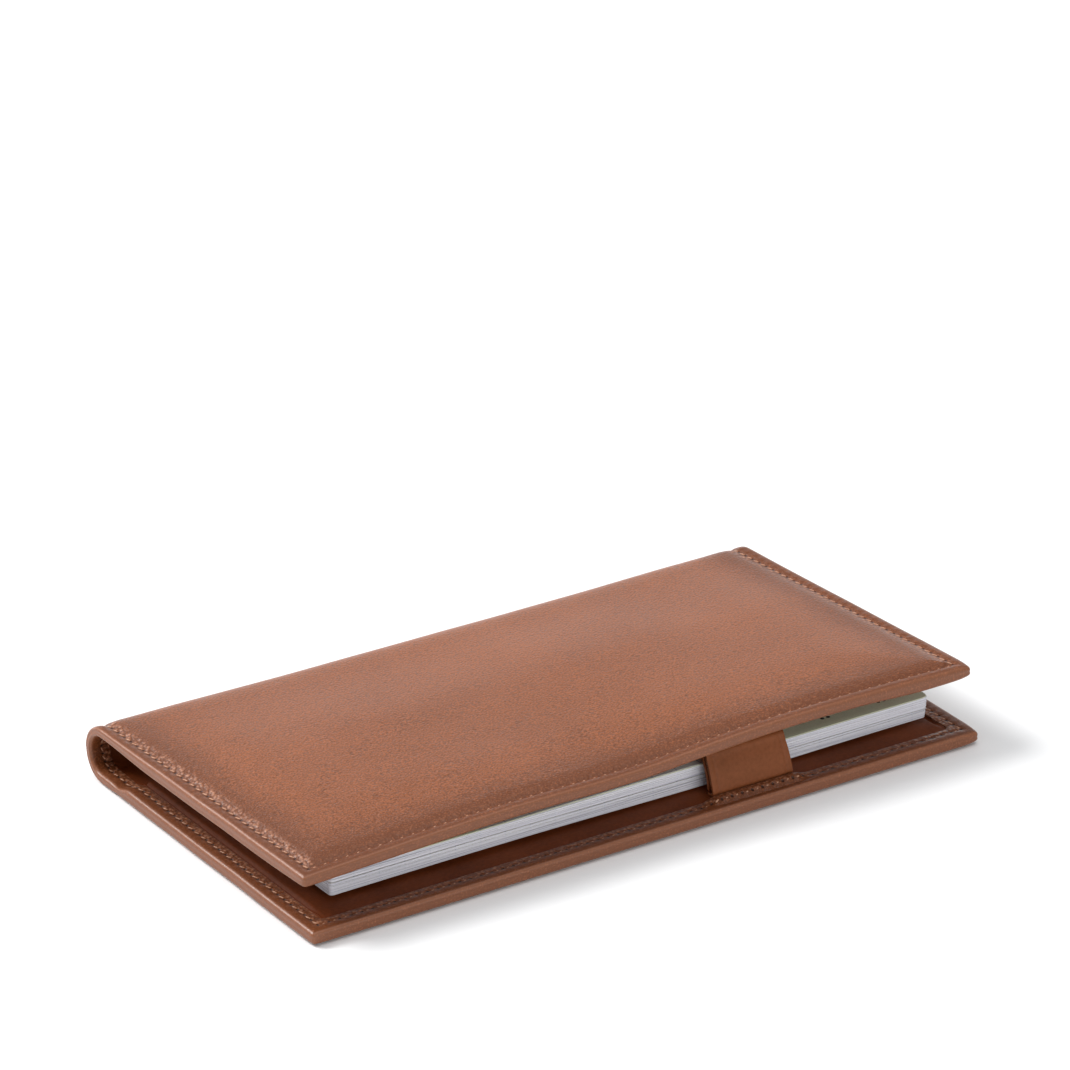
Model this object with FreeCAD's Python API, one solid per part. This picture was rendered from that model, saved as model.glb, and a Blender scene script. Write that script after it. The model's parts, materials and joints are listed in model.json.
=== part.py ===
"""Leather cover for a slim pocket notebook, with the sewn paper refill in it.

The cover is one folded sheet of leather, turned in along its edges over a lining
and sewn down.  It is cut here at the two lines where the rounded spine bends, so
that the cover can open: back, spine and front are rigid and turn on two hinges.
A board and a thin padding stiffen the back and the front.  Each has an inner
sleeve pocket that opens towards the spine; the refill's back card sits in the
back one.  A pen loop is sewn into the hem of the back cover's fore edge.

Frame: X along the spine, -Y the fore edge, +Y the spine, +Z up, millimetres.
The origin is the middle of the bounding box's underside; the back cover lies
flat on Z = 0.  The front rests a little open, on the pen loop.
"""
import FreeCAD, Part

import math
import os

# ---- driving dimensions -------------------------------------------------------
LENGTH = 178.0            # along the spine
DEPTH = 98.25             # fore edge of the back to the outermost point of the spine
SPINE_RADIUS = 7.0        # outside of the rounded spine
FRONT_INSET = 3.5         # the front's fore edge stops short of the back's
REST_OPENING = 2.8        # degrees that the front stands open at rest

LEATHER = 1.0             # outer sheet
PADDING = 0.3
BOARD = 0.6
LINING = 0.4
CARD_GAP = 0.35           # height of the sleeve's slot
POCKET = 0.5
TURN_IN = 0.6             # skived edge, folded inwards and sewn down
TURN_WIDTH = 5.3
STITCH_INSET = 3.3        # edge to seam
CORNER_RADIUS = 2.5       # of the covers, seen from above
EDGE_RADIUS = 0.9         # roll of the folded edges
BOARD_SETBACK = 8.0       # from the board's end to the axis of the rounded spine
POCKET_SETBACK = 2.0      # from the pocket's open edge to the board's end
FLEX_STEP = 2.5           # over which the layers come down beside the board
POCKET_RIM = 3.25         # glued edge of the sleeve pocket, round three sides

THREAD_WIDTH = 0.5
THREAD_HEIGHT = 0.25
GROOVE_WIDTH = 0.6
GROOVE_DEPTH = 0.3
FLUSH = 0.02              # the thread lies this far below the leather

REFILL_LENGTH = 160.0
REFILL_DEPTH = 80.25
REFILL_SHIFT = 2.5        # the refill sits off centre, towards +X
REFILL_MARGIN = 11.5      # fore edge of the back cover to fore edge of the pages
CARD = 0.25
SECTIONS = 7
LOWER_SECTIONS = 4        # the refill opens above these
SECTION = 0.80
SECTION_PITCH = 0.82
FOLD_RADIUS = 0.3
SECTION_THREADS = 5
SECTION_THREAD_LENGTH = 14.0
SECTION_THREAD_WIDTH = 0.2

LOOP_WIDTH = 22.0         # along the spine
LOOP_CENTRE = 29.5        # from the middle of the cover, along X
LOOP_LEATHER = 0.7
LOOP_TOP = 13.1           # highest point of the loop
LOOP_FOOT = 0.8           # the loop's two sewn-in ends, skived
LOOP_RADIUS = 1.2         # outside of the fold at the top of the loop
LOOP_HEEL = 2.2           # the loop's rear wall leans in by this much towards its foot
BUMP_SIDE = 1.0           # the hem's rise over the foot runs this far past it

CLEAR = 0.05              # between separate pieces that lie beside each other

# ---- sizes worked out from them -----------------------------------------------
END_X = LENGTH / 2
FORE_Y = -DEPTH / 2
SPINE_Y = DEPTH / 2 - SPINE_RADIUS        # axis of the rounded spine
BOARD_END_Y = SPINE_Y - BOARD_SETBACK
POCKET_END_Y = BOARD_END_Y - POCKET_SETBACK
FLEX_Y = BOARD_END_Y + FLEX_STEP          # the layers are down to their thinnest here

PADDING_Z = LEATHER
BOARD_Z = PADDING_Z + PADDING
LINING_Z = BOARD_Z + BOARD
SLOT_Z = LINING_Z + LINING
POCKET_Z = SLOT_Z + CARD_GAP
TURN_Z = POCKET_Z + POCKET
HEM = TURN_Z + TURN_IN                    # thickness of the sewn edge
FLEX_HEM = LEATHER + LINING + TURN_IN     # thickness of the edge beside the spine

HALF_BEND = 45.0                          # the spine's own share of the round, each way
PIVOT = math.pi / 4 * SPINE_RADIUS        # unrolls the quarter round to lie flat
HINGE_Y = SPINE_Y + PIVOT
BACK_HINGE_Z = SPINE_RADIUS - PIVOT
FRONT_HINGE_Z = SPINE_RADIUS + PIVOT

PAGES_X = REFILL_SHIFT - REFILL_LENGTH / 2
PAGES_Y = FORE_Y + REFILL_MARGIN
PAGES_Z = TURN_Z + CLEAR
CARD_SPINE_Y = PAGES_Y + REFILL_DEPTH     # outer face of the card's spine
SPLIT_Z = PAGES_Z + LOWER_SECTIONS * SECTION_PITCH
FRONT_CARD_Z = PAGES_Z + SECTIONS * SECTION_PITCH

LOOP_X0 = LOOP_CENTRE - LOOP_WIDTH / 2
LOOP_X1 = LOOP_CENTRE + LOOP_WIDTH / 2
LOOP_Y = FORE_Y + TURN_WIDTH
BUMP_Z = TURN_Z + LOOP_FOOT               # underside of the hem over the loop's foot


# ---- shapes ---------------------------------------------------------------------
def box(x0, x1, y0, y1, z0, z1):
    return Part.makeBox(x1 - x0, y1 - y0, z1 - z0, FreeCAD.Vector(x0, y0, z0))


def prism(outline, x0, x1):
    """A (y, z) outline run along X."""
    points = [FreeCAD.Vector(x0, y, z) for y, z in outline]
    face = Part.Face(Part.makePolygon(points + points[:1]))
    return face.extrude(FreeCAD.Vector(x1 - x0, 0, 0))


def bend(outer, inner, start, end, x0, x1):
    """A curved wall about the spine's axis, between two angles from +Y towards +Z."""
    def point(radius, degrees):
        a = math.radians(degrees)
        return FreeCAD.Vector(x0, SPINE_Y + radius * math.cos(a), SPINE_RADIUS + radius * math.sin(a))

    def arc(radius, a, b):
        return Part.Arc(point(radius, a), point(radius, (a + b) / 2), point(radius, b)).toShape()

    edges = [
        arc(outer, start, end),
        Part.LineSegment(point(outer, end), point(inner, end)).toShape(),
        arc(inner, end, start),
        Part.LineSegment(point(inner, start), point(outer, start)).toShape(),
    ]
    return Part.Face(Part.Wire(edges)).extrude(FreeCAD.Vector(x1 - x0, 0, 0))


def joined(shapes):
    return shapes[0].multiFuse(shapes[1:]).removeSplitter()


def at_both_ends(make, inset0, inset1):
    """make(x0, x1) at each short edge, between two distances in from it."""
    return [make(-END_X + inset0, -END_X + inset1), make(END_X - inset1, END_X - inset0)]


def hem_strip(depth0, depth1, fore_y, x0, x1):
    """A layer of the short edge's hem between two depths below its top, out to the bend."""
    top = [(fore_y, HEM), (POCKET_END_Y, HEM), (FLEX_Y, FLEX_HEM), (SPINE_Y, FLEX_HEM)]
    outline = [(y, z - depth0) for y, z in top] + [(y, z - depth1) for y, z in reversed(top)]
    return prism(outline, x0, x1)


def hem_wall(fore_y, x0, x1):
    """The short edge's outer fold, floor to hem."""
    top = [(fore_y, HEM), (POCKET_END_Y, HEM), (FLEX_Y, FLEX_HEM), (SPINE_Y, FLEX_HEM)]
    return prism(top + [(SPINE_Y, 0.0), (fore_y, 0.0)], x0, x1)


def seam(fore_y, width, low, high, x_inset=STITCH_INSET):
    """Both faces of the seam round three sides: channels or threads, low to high below the face."""
    y0 = fore_y + STITCH_INSET - width / 2
    inset0 = x_inset - width / 2
    inset1 = x_inset + width / 2
    outside = [box(-END_X + inset0, END_X - inset0, y0, y0 + width, low, high)]
    outside += at_both_ends(lambda a, b: box(a, b, y0, SPINE_Y, low, high), inset0, inset1)
    inside = [box(-END_X + inset0, END_X - inset0, y0, y0 + width, HEM - high, HEM - low)]
    inside += at_both_ends(lambda a, b: hem_strip(low, high, y0, a, b), inset0, inset1)
    return joined(outside), joined(inside)


# ---- a cover: the back as it lies, the front before it is mirrored and turned ------
def outer_leather(fore_y):
    body = [
        box(-END_X, END_X, fore_y, SPINE_Y, 0, LEATHER),
        box(-END_X, END_X, fore_y, fore_y + LEATHER, 0, HEM),
        box(-END_X, END_X, fore_y, fore_y + TURN_WIDTH, TURN_Z, HEM),
    ]
    body += at_both_ends(lambda a, b: hem_wall(fore_y, a, b), 0, LEATHER)
    body += at_both_ends(lambda a, b: hem_strip(0, TURN_IN, fore_y, a, b), 0, TURN_WIDTH)
    shape = joined(body)
    corners = [
        e for e in shape.Edges
        if abs(e.BoundBox.YMax - fore_y) < 1e-6 and e.BoundBox.ZLength > HEM / 2
        and abs(abs(e.BoundBox.XMax) - END_X) < 1e-6 and e.BoundBox.XLength < 1e-6
    ]
    shape = shape.makeFillet(CORNER_RADIUS, corners)
    rim = [
        e for e in shape.Edges
        if e.BoundBox.YMax < fore_y + CORNER_RADIUS + 0.1 and e.BoundBox.ZLength < 1e-6
        and abs(e.BoundBox.YMin - fore_y) < 1e-3
        and min(e.BoundBox.ZMin, HEM - e.BoundBox.ZMin) < 1e-6
    ]
    shape = shape.makeFillet(EDGE_RADIUS, rim)
    return shape


def quarter_round(outer_depth, inner_depth, x0, x1):
    """The part of the spine's round that stays with a cover."""
    radius = SPINE_RADIUS
    return bend(radius - outer_depth, radius - inner_depth, -90, -HALF_BEND, x0, x1)


def cover(fore_y):
    """The layers of one cover, by name, lying on Z = 0 with their face down."""
    leather = [outer_leather(fore_y), quarter_round(0, LEATHER, -END_X, END_X)]
    leather += at_both_ends(lambda a, b: quarter_round(0, FLEX_HEM, a, b), 0, LEATHER)
    leather += at_both_ends(
        lambda a, b: quarter_round(FLEX_HEM - TURN_IN, FLEX_HEM, a, b), 0, TURN_WIDTH)
    leather = joined(leather)
    groove = list(seam(fore_y, GROOVE_WIDTH, 0, GROOVE_DEPTH))
    thread = list(seam(fore_y, THREAD_WIDTH, FLUSH, FLUSH + THREAD_HEIGHT))
    for width, low, high, into in ((GROOVE_WIDTH, 0, GROOVE_DEPTH, groove),
                                   (THREAD_WIDTH, FLUSH, FLUSH + THREAD_HEIGHT, thread)):
        inset0, inset1 = STITCH_INSET - width / 2, STITCH_INSET + width / 2
        into[0] = joined([into[0]] + at_both_ends(
            lambda a, b: quarter_round(low, high, a, b), inset0, inset1))
        into[1] = joined([into[1]] + at_both_ends(
            lambda a, b: quarter_round(FLEX_HEM - high, FLEX_HEM - low, a, b), inset0, inset1))

    edge = LEATHER + CLEAR
    y0 = fore_y + edge
    x1 = END_X - edge
    lining_top = [(y0, SLOT_Z), (BOARD_END_Y, SLOT_Z), (FLEX_Y, LEATHER + LINING),
                  (SPINE_Y, LEATHER + LINING)]
    lining = prism(lining_top + [(y, z - LINING) for y, z in reversed(lining_top)], -x1, x1)
    lining = joined([lining, quarter_round(LEATHER, LEATHER + LINING, -x1, x1)])
    pocket = box(-x1, x1, y0, POCKET_END_Y, SLOT_Z, TURN_Z).cut(
        box(-x1 + POCKET_RIM, x1 - POCKET_RIM, y0 + POCKET_RIM, POCKET_END_Y + 1, SLOT_Z, POCKET_Z))
    return {
        "outer_leather": leather.cut(Part.makeCompound(groove)),
        "padding": box(-x1, x1, y0, BOARD_END_Y, PADDING_Z, BOARD_Z),
        "board": box(-x1, x1, y0, BOARD_END_Y, BOARD_Z, LINING_Z),
        "lining": lining,
        "pocket": pocket,
        "thread": Part.makeCompound(thread),
    }


def raised_hem(back):
    """Lifts the back's hem over the foot of the pen loop, with the seam running over it."""
    wall = LEATHER
    x0, x1 = LOOP_X0 - BUMP_SIDE, LOOP_X1 + BUMP_SIDE
    rise = LOOP_FOOT
    bump = box(x0, x1, FORE_Y + wall, LOOP_Y, TURN_Z, HEM + rise)
    hollow = box(LOOP_X0 - CLEAR, LOOP_X1 + CLEAR, FORE_Y + wall + CLEAR, LOOP_Y + 1, TURN_Z, BUMP_Z + CLEAR)
    y0 = FORE_Y + STITCH_INSET
    channel = box(x0 - GROOVE_WIDTH, x1 + GROOVE_WIDTH, y0 - GROOVE_WIDTH / 2, y0 + GROOVE_WIDTH / 2,
                  HEM + rise - GROOVE_DEPTH, HEM + rise + 1)
    leather = back["outer_leather"].fuse(bump).cut(hollow).cut(channel)
    half = THREAD_WIDTH / 2
    flush = HEM - FLUSH
    over = [
        box(x0 - THREAD_HEIGHT, x1 + THREAD_HEIGHT, y0 - half, y0 + half,
            flush + rise - THREAD_HEIGHT, flush + rise),
        box(x0 - THREAD_HEIGHT, x0, y0 - half, y0 + half, flush - THREAD_HEIGHT, flush + rise),
        box(x1, x1 + THREAD_HEIGHT, y0 - half, y0 + half, flush - THREAD_HEIGHT, flush + rise),
    ]
    gap = box(x0, x1, y0 - 1, y0 + 1, TURN_Z, HEM)
    outside, inside = back["thread"].Solids
    inside, outside = sorted((outside, inside), key=lambda s: -s.BoundBox.ZMax)
    pieces = inside.cut(gap).Solids
    back["thread"] = Part.makeCompound([outside, joined(pieces + over)])
    back["outer_leather"] = leather.removeSplitter()


def to_front(shape):
    """Mirrors a cover's layer to the top and stands it open by the rest angle."""
    turned = shape.mirror(FreeCAD.Vector(0, 0, SPINE_RADIUS), FreeCAD.Vector(0, 0, 1))
    turned.rotate(FreeCAD.Vector(0, HINGE_Y, FRONT_HINGE_Z), FreeCAD.Vector(-1, 0, 0), REST_OPENING)
    return turned


# ---- the spine -------------------------------------------------------------------
def spine():
    def wall(depth0, depth1, x0, x1):
        return bend(SPINE_RADIUS - depth0, SPINE_RADIUS - depth1, -HALF_BEND, HALF_BEND, x0, x1)

    leather = [wall(0, LEATHER, -END_X, END_X)]
    leather += at_both_ends(lambda a, b: wall(0, FLEX_HEM, a, b), 0, LEATHER)
    leather += at_both_ends(lambda a, b: wall(FLEX_HEM - TURN_IN, FLEX_HEM, a, b), 0, TURN_WIDTH)
    half = GROOVE_WIDTH / 2
    cut = at_both_ends(lambda a, b: wall(0, GROOVE_DEPTH, a, b), STITCH_INSET - half, STITCH_INSET + half)
    cut += at_both_ends(lambda a, b: wall(FLEX_HEM - GROOVE_DEPTH, FLEX_HEM, a, b),
                        STITCH_INSET - half, STITCH_INSET + half)
    half = THREAD_WIDTH / 2
    low, high = FLUSH, FLUSH + THREAD_HEIGHT
    thread = at_both_ends(lambda a, b: wall(low, high, a, b), STITCH_INSET - half, STITCH_INSET + half)
    thread += at_both_ends(lambda a, b: wall(FLEX_HEM - high, FLEX_HEM - low, a, b),
                           STITCH_INSET - half, STITCH_INSET + half)
    edge = LEATHER + CLEAR
    return {
        "outer_leather_spine": joined(leather).cut(Part.makeCompound(cut)),
        "lining_spine": wall(LEATHER, LEATHER + LINING, -END_X + edge, END_X - edge),
        "thread_spine": Part.makeCompound(thread),
    }


# ---- the pen loop ----------------------------------------------------------------
def pen_loop():
    """A strap folded on itself, leaning towards the pages, and its foot in the hem."""
    foot = box(LOOP_X0, LOOP_X1, FORE_Y + LEATHER + 2 * CLEAR, LOOP_Y, TURN_Z + CLEAR / 2, BUMP_Z)
    y0 = LOOP_Y + CLEAR
    low = TURN_Z + 2 * CLEAR
    rear_y = PAGES_Y - 6 * CLEAR               # the loop stays clear of the pages
    top_y = rear_y - LOOP_RADIUS
    top_z = LOOP_TOP - LOOP_RADIUS
    dy, dz = top_y - y0, top_z - BUMP_Z
    lean = math.atan2(dz, dy) + math.asin(LOOP_RADIUS / math.hypot(dy, dz))
    touch = (top_y - LOOP_RADIUS * math.sin(lean), top_z + LOOP_RADIUS * math.cos(lean))
    heel_y = rear_y - LOOP_HEEL

    def point(y, z):
        return FreeCAD.Vector(LOOP_X0, y, z)

    corners = [point(y0, BUMP_Z), point(y0, low), point(heel_y, low), point(rear_y, top_z)]
    edges = [Part.LineSegment(a, b).toShape() for a, b in zip(corners, corners[1:])]
    crown = point(top_y + LOOP_RADIUS * math.sin((math.pi - lean) / 4),
                  top_z + LOOP_RADIUS * math.cos((math.pi - lean) / 4))
    edges.append(Part.Arc(corners[-1], crown, point(*touch)).toShape())
    edges.append(Part.LineSegment(point(*touch), corners[0]).toShape())
    outline = Part.Face(Part.Wire(edges))
    ring = outline.cut(outline.makeOffset2D(-LOOP_LEATHER))
    return {
        "pen_loop": ring.extrude(FreeCAD.Vector(LOOP_WIDTH, 0, 0)),
        "pen_loop_foot": foot,
    }


# ---- the refill --------------------------------------------------------------------
def refill():
    x1 = PAGES_X + REFILL_LENGTH
    inner = CARD_SPINE_Y - CARD
    back_z = SLOT_Z + CLEAR
    pieces = {
        "refill_back_card": joined([
            box(PAGES_X, x1, PAGES_Y, CARD_SPINE_Y, back_z, back_z + CARD),
            box(PAGES_X, x1, inner, CARD_SPINE_Y, back_z, SPLIT_Z - CLEAR / 2)]),
        "refill_front_card": joined([
            box(PAGES_X, x1, PAGES_Y, CARD_SPINE_Y, FRONT_CARD_Z, FRONT_CARD_Z + CARD),
            box(PAGES_X, x1, inner, CARD_SPINE_Y, SPLIT_Z + CLEAR / 2, FRONT_CARD_Z + CARD)]),
    }
    thread = SECTION_THREAD_WIDTH
    fold_y = inner - thread - 2 * CLEAR
    lower_threads = []
    for n in range(SECTIONS):
        z0 = PAGES_Z + n * SECTION_PITCH
        pages = box(PAGES_X, x1, PAGES_Y, fold_y, z0, z0 + SECTION)
        fold = [e for e in pages.Edges if e.BoundBox.YMin > fold_y - 1e-6 and e.BoundBox.ZLength < 1e-6]
        pieces[f"section_{n + 1}"] = pages.makeFillet(FOLD_RADIUS, fold)
        step = REFILL_LENGTH / SECTION_THREADS
        threads = []
        for k in range(SECTION_THREADS):
            middle = PAGES_X + (k + 0.5) * step
            half = SECTION_THREAD_LENGTH / 2
            zm = z0 + SECTION / 2
            threads.append(box(middle - half, middle + half, fold_y + CLEAR, fold_y + CLEAR + thread,
                               zm - thread / 2, zm + thread / 2))
        if n < LOWER_SECTIONS:
            lower_threads += threads
        else:
            pieces[f"section_thread_{n + 1}"] = Part.makeCompound(threads)
    pieces["section_thread_lower"] = Part.makeCompound(lower_threads)
    return pieces


def main():
    os.makedirs("parts", exist_ok=True)
    for old in os.listdir("parts"):
        os.remove(os.path.join("parts", old))
    nodes = {}
    back = cover(FORE_Y)
    raised_hem(back)
    front = {name: to_front(shape) for name, shape in cover(FORE_Y + FRONT_INSET).items()}
    for side, layers in (("back", back), ("front", front)):
        nodes.update({f"{name}_{side}": shape for name, shape in layers.items()})
    nodes.update(spine())
    nodes.update(pen_loop())
    nodes.update(refill())
    for name, shape in sorted(nodes.items()):
        good = shape.isValid() and all(s.Volume > 0 for s in shape.Solids)
        print(f"{name:24s} {'ok ' if good else 'BAD'} {len(shape.Solids)} solids {shape.Volume:10.2f} mm3")
        shape.exportStep(f"parts/{name}.step")
    print(f"hinges: y {HINGE_Y:.4f}, back z {BACK_HINGE_Z:.4f}, front z {FRONT_HINGE_Z:.4f}")
    print(f"refill hinge: y {CARD_SPINE_Y + CLEAR:.4f}, z {SPLIT_Z:.4f}")
    print(f"pen loop hinge: y {LOOP_Y + CLEAR:.4f}, z {HEM + LOOP_FOOT + CLEAR:.4f}")


main()
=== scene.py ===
import json
import math
import random

import bmesh
import bpy
import numpy as np
from mathutils import Matrix, Vector


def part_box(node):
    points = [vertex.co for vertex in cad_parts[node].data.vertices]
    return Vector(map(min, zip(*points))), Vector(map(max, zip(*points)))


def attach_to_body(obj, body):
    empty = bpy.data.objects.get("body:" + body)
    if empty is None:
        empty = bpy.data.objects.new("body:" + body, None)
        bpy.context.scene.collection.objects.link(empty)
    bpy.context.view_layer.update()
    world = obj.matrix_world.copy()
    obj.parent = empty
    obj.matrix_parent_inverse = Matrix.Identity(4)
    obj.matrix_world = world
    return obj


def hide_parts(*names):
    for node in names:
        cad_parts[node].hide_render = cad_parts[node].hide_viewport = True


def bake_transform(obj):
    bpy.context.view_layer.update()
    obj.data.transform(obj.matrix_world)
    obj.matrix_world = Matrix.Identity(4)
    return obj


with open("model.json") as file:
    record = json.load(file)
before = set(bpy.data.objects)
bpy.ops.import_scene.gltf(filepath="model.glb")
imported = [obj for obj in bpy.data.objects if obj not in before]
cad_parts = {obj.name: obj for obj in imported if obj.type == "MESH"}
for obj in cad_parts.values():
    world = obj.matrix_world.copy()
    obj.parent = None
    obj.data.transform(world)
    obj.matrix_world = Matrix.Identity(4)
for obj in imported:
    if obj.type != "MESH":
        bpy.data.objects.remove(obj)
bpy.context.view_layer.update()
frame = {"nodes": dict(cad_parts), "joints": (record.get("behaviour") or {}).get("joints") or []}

MM = 0.001
RANDOM = random.Random(7)

# ---- places, from the frame ------------------------------------------------------------
BACK_LOW, BACK_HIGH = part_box("outer_leather_back")
SPINE_LOW, SPINE_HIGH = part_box("outer_leather_spine")
POCKET_LOW, POCKET_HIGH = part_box("pocket_back")
_, BOARD_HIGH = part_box("board_back")
LOOP_LOW, LOOP_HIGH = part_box("pen_loop")
FRONT_HINGE = next(Vector(joint["pos_m"]) for joint in frame["joints"] if joint["name"] == "front_fold")
STACK_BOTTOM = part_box("section_1")[0]
STACK_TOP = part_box("section_7")[1]

END_X = BACK_HIGH.x
FORE_Y = BACK_LOW.y
AXIS_Z = (SPINE_LOW.z + SPINE_HIGH.z) / 2     # the rounded spine's own axis
RADIUS = 7 * MM                               # of its outside
AXIS_Y = SPINE_HIGH.y - RADIUS
QUARTER = RADIUS * math.pi / 2
FRONT_INSET = 3.5 * MM                        # the front stops short of the back's fore edge
BACK_LENGTH = AXIS_Y - FORE_Y + QUARTER       # fore edge to the middle of the spine, flat
FRONT_LENGTH = BACK_LENGTH - FRONT_INSET
BOARD_END = BOARD_HIGH.y - FORE_Y
POCKET_END = POCKET_HIGH.y - FORE_Y
LINING_TOP = POCKET_LOW.z                     # over the board
PAD_INSET = 1.7 * MM      # edge to each layer inside; no two layers' edges are in line
BOARD_INSET = 1.6 * MM
POCKET_INSET = 1.35 * MM
LINING_INSET = 1.3 * MM

# ---- the maker's sizes -----------------------------------------------------------------
HEM = 3.4 * MM            # thickness of the sewn edge over the board
FLEX_HEM = 2.45 * MM      # and beside the spine, where there is no board
TURN = 5.3 * MM           # width of the turned-in edge
ROLL = 1.05 * MM          # radius of the turned edge
INSET = 3.3 * MM          # edge to seam
SKIN = 0.6 * MM           # thickness of the skived leather
PITCH = 2.78 * MM         # stitch length
HOLE = 0.4 * MM           # radius of the dimple round a needle hole, and of the painted shade in it
THREAD_HALF = 0.19 * MM   # half the width of a stitch
GLUE = 0.02 * MM          # between two layers
FELT_TOP = 1.3 * MM       # heights through the flat cover
BOARD_FACES = (1.32 * MM, 1.88 * MM)
LINING_AT_SPINE = 1.6 * MM
LINING_THICKNESS = 0.4 * MM
POCKET_TOP = 3.15 * MM
POCKET_THICKNESS = 0.3 * MM
PUFF = 1.15 * MM          # how far the padded front stands above its seam
SPINE_PUFF = 0.1 * MM
SPINE_SAG = 1.5 * MM      # the rounded spine is hollow and sinks between its sewn ends
OPENING = math.radians(1.82)   # of the front at rest, half way along
TWIST = math.radians(1.38)     # added at one end and taken away at the other
BOW = 1.75 * MM                # the front's fore edge rests on the pen loop, and its ends droop
DROOP = 0.75 * MM              # more at the end that stands higher
DIP = 1.45 * MM                # it sinks again between the loop and its other end
SWELL_WIDTH = 22 * MM          # seam to the full height of the padding
LOOP_WALL = 0.7 * MM      # two skived plies of the pen loop
LOOP_EDGE = 1.5 * MM      # its turned edge
LOOP_TOP_RADIUS = 0.9 * MM
FOOT_HEEL = 2.2 * MM      # fore edge to the end of the loop's foot
FOOT_BOTTOM = 3.0 * MM
SECTIONS = 7              # of the refill
LOWER_SECTIONS = 4        # those that stay on the back when it is opened
SPLIT = LOWER_SECTIONS / SECTIONS
LEAVES = 4                # drawn in each section
LEAF_GAP = 0.012 * MM
CARD_THICKNESS = 0.25 * MM
RULING = 6.5 * MM         # between the lines on the pages
DOT_PAIRS = 10
DOT_PAIR_STEP = 15.6 * MM
DOT_STEP = 1.6 * MM
DOT_RADIUS = 0.5 * MM
DOT_THICKNESS = 0.02 * MM
DOT_START = 8 * MM        # card's end to the first dot
DOT_IN = 3.7 * MM         # card's fore edge to the row

# ---- the finishes: the finest grain is drawn coarser than it is, so that it shows ----------
PEBBLE = 0.62 * MM        # plated grain, really about 0.3 mm
PORE = 0.42 * MM          # really about 0.1 mm
DYE_CLOUD = 30 * MM
PUCKER = 0.95 * MM        # small folds inside a drawn seam
GATHER_WIDTH = 1.4 * MM
CRINKLE_IN = 1.2 * MM     # seam to the middle of the puckers
CRINKLE_WIDTH = 1.0 * MM
SPLIT_GRAIN = 0.8 * MM    # of the lining and the loop, really about 0.3 mm
SPLIT_CLOUD = 14 * MM
TWIST_STEP = 0.5 * MM     # of the thread's plies
SHEET_LINE = 0.16 * MM    # a sheet of paper is really 0.1 mm
RULE_WIDTH = 0.22 * MM
# the worn colour serves the rubbed edges and the painted highlights on the pucker crowns; the hole colour
# is painted shade in the needle holes
CALF_LIGHT, CALF_DEEP, CALF_WORN_AND_HIGHLIGHT, CALF_HOLE_SHADE = "#9B5A35", "#653312", "#BC8263", "#3A1A0A"


# ---- modelling -------------------------------------------------------------------------
def block(name, low, high):
    """A box between two corners, in edit mode with nothing selected."""
    bpy.ops.object.select_all(action="DESELECT")
    centre = [(a + b) / 2 for a, b in zip(low, high)]
    size = [b - a for a, b in zip(low, high)]
    bpy.ops.mesh.primitive_cube_add(size=1, location=centre, scale=size)
    return begin(name)


def flat_sheet(name, low, high):
    """A one-sided sheet at height 0, face down, in edit mode with nothing selected."""
    bpy.ops.object.select_all(action="DESELECT")
    centre = ((low[0] + high[0]) / 2, (low[1] + high[1]) / 2, 0)
    bpy.ops.mesh.primitive_plane_add(size=1, location=centre)
    bpy.context.object.scale = (high[0] - low[0], high[1] - low[1], 1)
    obj = begin(name)
    bpy.ops.mesh.select_all(action="SELECT")
    bpy.ops.mesh.flip_normals()
    bpy.ops.mesh.select_all(action="DESELECT")
    return obj


def begin(name):
    """Names the new primitive, puts its place in its mesh and opens it with nothing selected."""
    obj = bpy.context.object
    obj.name = obj.data.name = name
    bpy.ops.object.transform_apply(location=True, rotation=True, scale=True)
    bpy.ops.object.mode_set(mode="EDIT")
    bpy.ops.mesh.select_all(action="DESELECT")
    return obj


def end():
    bpy.ops.object.mode_set(mode="OBJECT")


def cut(axis, places):
    """Cuts the whole mesh square to an axis at each place."""
    normal = Vector((axis == 0, axis == 1, axis == 2))
    for place in places:
        bpy.ops.mesh.select_all(action="SELECT")
        bpy.ops.mesh.bisect(plane_co=normal * place, plane_no=normal)
    bpy.ops.mesh.select_all(action="DESELECT")


def evenly(low, high, step):
    """Places between two ends, about a step apart, without the ends."""
    count = max(1, round((high - low) / step))
    return [low + (high - low) * n / count for n in range(1, count)]


def pick(obj, kind, test):
    """Selects the edges or faces of a mesh in edit mode that pass a test."""
    bpy.ops.mesh.select_all(action="DESELECT")
    bpy.ops.mesh.select_mode(type={"edges": "EDGE", "faces": "FACE"}[kind])
    mesh = bmesh.from_edit_mesh(obj.data)
    for part in getattr(mesh, kind):
        part.select_set(test(part))
    mesh.select_flush_mode()
    bmesh.update_edit_mesh(obj.data)


def select_only(*objects):
    bpy.ops.object.select_all(action="DESELECT")
    for obj in objects:
        obj.select_set(True)
    bpy.context.view_layer.objects.active = objects[0]


def join(name, parts):
    """Makes one named object of several."""
    select_only(*parts)
    bpy.ops.object.join()
    obj = bpy.context.object
    obj.name = obj.data.name = name
    return obj


def finish_with(obj, kind, **settings):
    """Adds a modifier and applies it."""
    modifier = obj.modifiers.new(kind.title(), kind)
    for key, value in settings.items():
        setattr(modifier, key, value)
    select_only(obj)
    bpy.ops.object.modifier_apply(modifier=modifier.name)


def smooth(obj, angle):
    """Shades smooth across edges that turn by less than the angle in degrees."""
    select_only(obj)
    bpy.ops.object.shade_smooth_by_angle(angle=math.radians(angle))


def places(obj):
    """The vertices as three columns."""
    flat = np.empty(len(obj.data.vertices) * 3, np.float32)
    obj.data.vertices.foreach_get("co", flat)
    return flat.reshape(-1, 3).astype(float).T


def move(obj, x, y, z):
    """Puts the vertices at three columns of places."""
    flat = np.stack((x, y, z), axis=1).astype(np.float32).ravel()
    obj.data.vertices.foreach_set("co", flat)
    obj.data.update()


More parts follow.
